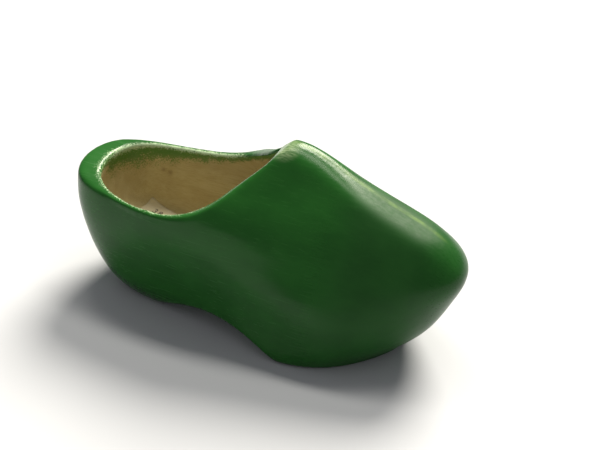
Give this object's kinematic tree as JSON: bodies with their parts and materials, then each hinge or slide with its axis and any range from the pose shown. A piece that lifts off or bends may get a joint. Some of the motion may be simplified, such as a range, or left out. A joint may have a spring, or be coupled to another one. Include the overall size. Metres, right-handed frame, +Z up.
{
  "type": "wooden clog",
  "caption": "Right-foot wooden clog carved from one block, with a slip-on foot hollow, a raised instep and a toe that comes to a blunt point.",
  "frame": {"origin": "middle of the bounding box in X and Y, on the floor", "axes": "+X towards the toe, +Y towards the inner side of the foot, +Z up"},
  "size_m": [0.2782, 0.1103, 0.1303],
  "materials": {
    "painted_wood": "glossy green paint outside, bare poplar inside",
    "label_paper": "matt"
  },
  "bodies": {
    "root": {"clog_body": "painted_wood", "size_label": "label_paper"}
  },
  "joints": []
}
